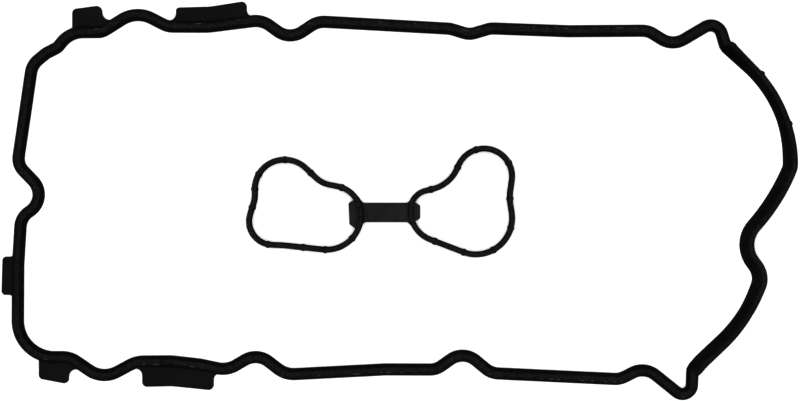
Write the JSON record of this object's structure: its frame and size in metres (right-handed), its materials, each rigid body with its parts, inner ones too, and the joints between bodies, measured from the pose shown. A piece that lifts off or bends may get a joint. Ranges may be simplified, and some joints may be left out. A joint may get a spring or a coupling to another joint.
{
  "type": "valve cover gasket",
  "caption": "Black rubber valve cover gasket: wavy closed perimeter seal with flat side tabs, and a separate plug well seal of lobed thin loops joined by a flat web.",
  "frame": {"origin": "middle of the footprint of both seals, on the plane that their undersides lie on", "axes": "+X along the engine's bank towards the arched cam end, +Y across the bank towards the long side at the top of the picture, +Z out of the head, towards the cover"},
  "size_m": [0.4452, 0.223, 0.0054],
  "materials": {
    "rubber": "matt, moulded"
  },
  "bodies": {
    "root": {"perimeter_seal": "rubber", "plug_well_seal": "rubber"}
  },
  "joints": []
}
